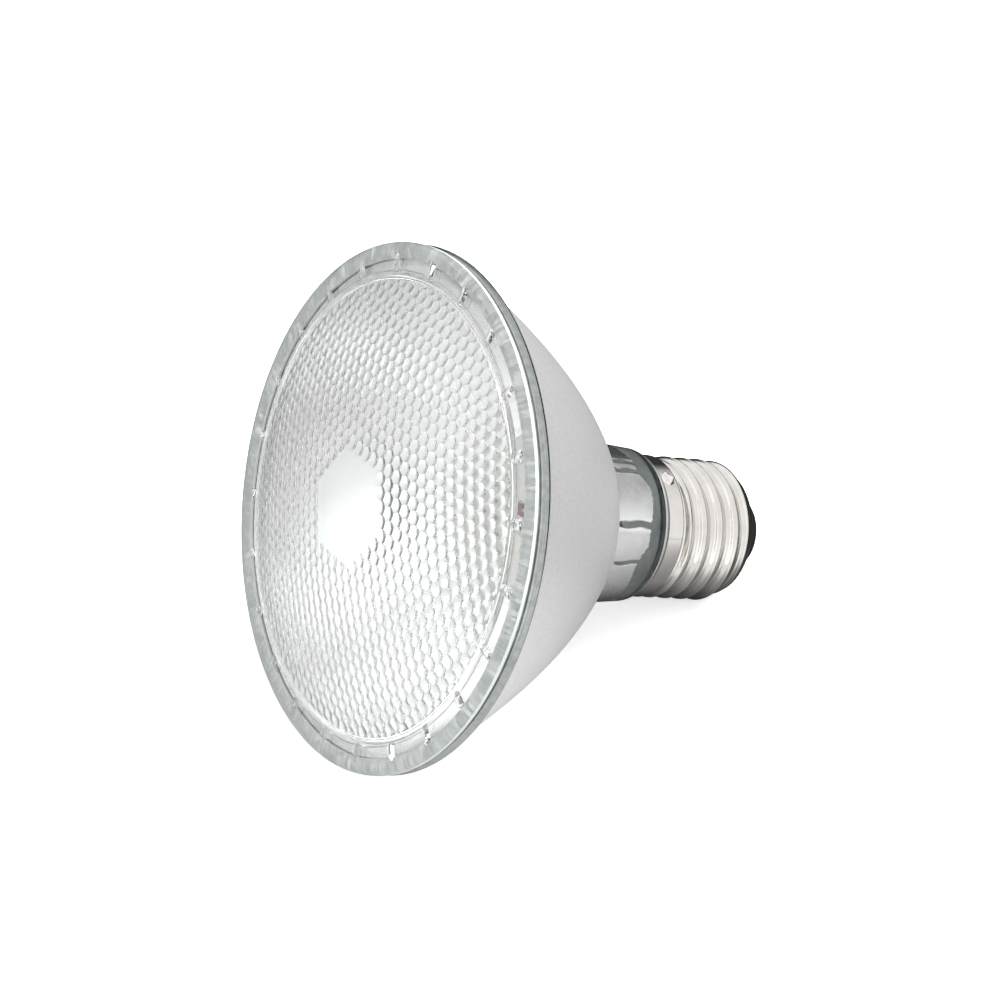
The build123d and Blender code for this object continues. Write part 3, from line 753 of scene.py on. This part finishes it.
innerLooks = {
    "cap_cement": ((0.50, 0.49, 0.46), (0.68, 0.67, 0.64), (0.8, 0.95), 0.0),
    "heat_sink": ((0.78, 0.79, 0.79), (0.86, 0.87, 0.87), (0.4, 0.55), 0.5),
    "sink_bond": ((0.78, 0.78, 0.76), (0.86, 0.86, 0.84), (0.5, 0.65), 0.0),
    "led_board": ((0.80, 0.80, 0.77), (0.88, 0.88, 0.85), (0.35, 0.5), 0.0),
    "led_chips": ((0.88, 0.86, 0.76), (0.91, 0.90, 0.82), (0.4, 0.6), 0.0),
    "board_screws": ((0.50, 0.50, 0.50), (0.64, 0.64, 0.64), (0.25, 0.4), 1.0),
    "dc_lead_red": ((0.18, 0.05, 0.05), (0.24, 0.08, 0.08), (0.35, 0.5), 0.0),
    "dc_lead_black": ((0.02, 0.02, 0.02), (0.05, 0.05, 0.05), (0.35, 0.5), 0.0),
    "driver_sleeve": ((0.80, 0.80, 0.77), (0.88, 0.88, 0.86), (0.4, 0.55), 0.0),
    "driver_board": ((0.02, 0.20, 0.08), (0.04, 0.28, 0.12), (0.3, 0.45), 0.0),
    "bulk_capacitor": ((0.02, 0.02, 0.04), (0.05, 0.05, 0.08), (0.2, 0.3), 0.0),
    "choke_core": ((0.07, 0.07, 0.07), (0.13, 0.13, 0.13), (0.7, 0.85), 0.0),
    "choke_winding": ((0.50, 0.20, 0.07), (0.72, 0.36, 0.16), (0.2, 0.35), 1.0),
    "film_capacitor": ((0.70, 0.48, 0.05), (0.80, 0.58, 0.09), (0.2, 0.3), 0.0),
    "fusible_resistor": ((0.10, 0.24, 0.18), (0.18, 0.33, 0.26), (0.5, 0.65), 0.0),
    "bridge_rectifier": ((0.02, 0.02, 0.02), (0.05, 0.05, 0.05), (0.5, 0.65), 0.0),
    "driver_chip": ((0.02, 0.02, 0.02), (0.05, 0.05, 0.05), (0.5, 0.65), 0.0),
    "mains_lead_centre": ((0.76, 0.76, 0.74), (0.86, 0.86, 0.84), (0.35, 0.5), 0.0),
    "mains_lead_shell": ((0.76, 0.76, 0.74), (0.86, 0.86, 0.84), (0.35, 0.5), 0.0),
}

for node, (dark, light, rough, metallic) in innerLooks.items():
    finish = plainMaterial(node + "Finish", dark, light, rough, metallic=metallic)
    mesh = frame["nodes"][node].data
    mesh.materials.clear()
    mesh.materials.append(finish)
print("inner pieces finished:", len(innerLooks))


# Studio

studioValues = {
    "floorSize": 4.0, "floorColour": (0.95, 0.95, 0.95), "floorShade": 0.985, "floorGrain": 6.0,
    "floorRough": 0.9, "floorGlow": 0.5,
    "nearReflected": 0.50, "farReflected": 0.02, "reflectedTurn": 50, "reflectedSpan": (-0.06, 0.035),
    "sky": 1.05, "frontSky": 1.4, "frontSpan": (-0.1, -0.7), "throughLens": 1.13,
    "lensSurfaces": 3, "rimSurfaces": 2,
    "horizon": 0.08, "openHorizon": 1.1, "horizonSpan": (-0.2, -0.5), "bandTop": 0.34,
    "cardTowards": (0.95, 0.1, -0.3), "cardSpan": (0.80, 0.72), "card": 0.04,
    "keyPower": 5.0, "keyPlace": (-0.45, -0.25, 0.95), "keySize": 1.0,
    "backPower": 13.0, "backPlace": (0.6, 0.05, 1.0), "backSize": 0.8, "aim": (0, 0, 0.04),
    "bounces": 12, "glossyBounces": 6, "glassBounces": 10,
}


def addSoftbox(name, place, size, power, aim):
    light = bpy.data.lights.new(name, "AREA")
    light.shape = "SQUARE"
    light.size = size
    light.energy = power
    lamp = bpy.data.objects.new(name, light)
    lamp.location = place
    lamp.rotation_euler = (Vector(aim) - Vector(place)).to_track_quat("-Z", "Y").to_euler()
    lamp.visible_glossy = False  # the metal shows the tent, not the lamp
    bpy.context.scene.collection.objects.link(lamp)


# Tells the rays that have gone through at least this many surfaces of glass.
def throughGlass(nodes, links, path, surfaces):
    return mathNode(nodes, links, "GREATER_THAN", path.outputs["Transmission Depth"], surfaces - 0.5)


# Paper that is burnt out to white for the camera and through the rim in front. The
# lamp's reflections show it grey, darker behind the cap, and rays that come back out
# of the lens meet an even glow.
def floorPaper():
    v = studioValues
    material, nodes, links, paper = newMaterial("floorPaper")
    grain = grainNode(nodes, links, v["floorGrain"])
    shade = [c * v["floorShade"] for c in v["floorColour"]]
    colourBetween(nodes, links, grain, paper, shade, v["floorColour"])
    paper.inputs["Roughness"].default_value = v["floorRough"]
    paper.inputs["Emission Color"].default_value = (1, 1, 1, 1)
    paper.inputs["Emission Strength"].default_value = v["floorGlow"]

    place = nodes.new("ShaderNodeTexCoord")
    turned = nodes.new("ShaderNodeVectorRotate")
    turned.rotation_type = "Z_AXIS"
    turned.inputs["Angle"].default_value = math.radians(-v["reflectedTurn"])
    links.new(place.outputs["Object"], turned.inputs["Vector"])
    across, straight = nodes.new("ShaderNodeSeparateXYZ"), nodes.new("ShaderNodeSeparateXYZ")
    links.new(turned.outputs["Vector"], across.inputs["Vector"])
    links.new(place.outputs["Object"], straight.inputs["Vector"])
    greys = (v["nearReflected"], v["farReflected"])
    fade = spanNode(nodes, links, across.outputs["X"], v["reflectedSpan"], greys)
    grey = nodes.new("ShaderNodeBsdfDiffuse")
    links.new(fade.outputs["Result"], grey.inputs["Color"])

    path = nodes.new("ShaderNodeLightPath")
    lensPassed = throughGlass(nodes, links, path, v["lensSurfaces"])
    rimPassed = throughGlass(nodes, links, path, v["rimSurfaces"])
    inFront = mathNode(nodes, links, "LESS_THAN", straight.outputs["X"], 0.0)
    rimInFront = mathNode(nodes, links, "MULTIPLY", rimPassed, inFront)
    white = mathNode(nodes, links, "MAXIMUM", path.outputs["Is Camera Ray"], rimInFront)
    glow = nodes.new("ShaderNodeEmission")
    glow.inputs["Strength"].default_value = v["throughLens"]
    seen = mixShaders(nodes, links, white, grey.outputs["BSDF"], paper.outputs["BSDF"])
    seen = mixShaders(nodes, links, lensPassed, seen, glow.outputs["Emission"])
    links.new(seen, nodes["Material Output"].inputs["Surface"])
    return material


def buildFloor():
    half = studioValues["floorSize"] / 2
    mesh = bpy.data.meshes.new("studioFloor")
    corners = [(-half, -half, 0), (half, -half, 0), (half, half, 0), (-half, half, 0)]
    mesh.from_pydata(corners, [], [(0, 1, 2, 3)])
    mesh.materials.append(floorPaper())
    floor = bpy.data.objects.new("studioFloor", mesh)
    bpy.context.scene.collection.objects.link(floor)


# A white tent, brightest in front of the lens, with the dark room at the horizon and
# a dark card behind the cap. Rays that come back out of the lens see an even white.
def buildSky():
    v = studioValues
    world = bpy.data.worlds.new("studioSky")
    world.use_nodes = True
    nodes, links = world.node_tree.nodes, world.node_tree.links
    place = nodes.new("ShaderNodeTexCoord")
    apart = nodes.new("ShaderNodeSeparateXYZ")
    links.new(place.outputs["Generated"], apart.inputs["Vector"])
    horizon = spanNode(nodes, links, apart.outputs["Y"], v["horizonSpan"], (v["horizon"], v["openHorizon"]))
    rise = spanNode(nodes, links, apart.outputs["Z"], (0, v["bandTop"]), (0, v["sky"]))
    links.new(horizon.outputs["Result"], rise.inputs["To Min"])
    front = spanNode(nodes, links, apart.outputs["X"], v["frontSpan"], (1, v["frontSky"]))
    towards = nodes.new("ShaderNodeVectorMath")
    towards.operation = "DOT_PRODUCT"
    towards.inputs[1].default_value = v["cardTowards"]
    links.new(place.outputs["Generated"], towards.inputs[0])
    card = spanNode(nodes, links, towards.outputs["Value"], v["cardSpan"], (v["card"], 1))
    strength = mathNode(nodes, links, "MULTIPLY", rise.outputs["Result"], front.outputs["Result"])
    strength = mathNode(nodes, links, "MULTIPLY", strength, card.outputs["Result"])
    path = nodes.new("ShaderNodeLightPath")
    chosen = nodes.new("ShaderNodeMix")
    chosen.inputs["B"].default_value = v["throughLens"]
    links.new(throughGlass(nodes, links, path, v["lensSurfaces"]), chosen.inputs["Factor"])
    links.new(strength, chosen.inputs["A"])
    links.new(chosen.outputs["Result"], nodes["Background"].inputs["Strength"])
    nodes["Background"].inputs["Color"].default_value = (1, 1, 1, 1)
    bpy.context.scene.world = world


def buildStudio():
    v = studioValues
    buildSky()
    buildFloor()
    addSoftbox("keySoftbox", v["keyPlace"], v["keySize"], v["keyPower"], v["aim"])
    addSoftbox("backSoftbox", v["backPlace"], v["backSize"], v["backPower"], v["aim"])
    scene = bpy.context.scene
    scene.view_settings.view_transform = "Standard"
    scene.cycles.max_bounces = v["bounces"]
    scene.cycles.glossy_bounces = v["glossyBounces"]
    scene.cycles.transmission_bounces = v["glassBounces"]
    print("studio lit")


buildStudio()


# Camera

cameraValues = {
    "azimuth": 66.2, "elevation": 44.97, "lens": 131.2, "sensor": 36.0,
    "rimStation": 0.45, "rimRight": -21.53, "rimUp": -1.41, "rimAway": 644.77,
}


# Placed by where the middle of the lens rim lies in the picture.
def buildCamera():
    v = cameraValues
    turn, tilt = math.radians(v["azimuth"]), math.radians(v["elevation"])
    forward = Vector((math.cos(tilt) * math.cos(turn), math.cos(tilt) * math.sin(turn), -math.sin(tilt)))
    right = Vector((math.sin(turn), -math.cos(turn), 0))
    up = right.cross(forward)
    rimMiddle = lampTip + lampAxis * (v["rimStation"] - tipStation) / 1000
    offset = right * v["rimRight"] + up * v["rimUp"] + forward * v["rimAway"]
    data = bpy.data.cameras.new("photoCamera")
    data.lens = v["lens"]
    data.sensor_width = v["sensor"]
    camera = bpy.data.objects.new("photoCamera", data)
    rotation = Matrix((right, up, -forward)).transposed()
    camera.matrix_world = Matrix.Translation(rimMiddle - offset / 1000) @ rotation.to_4x4()
    bpy.context.scene.collection.objects.link(camera)
    bpy.context.scene.camera = camera


buildCamera()
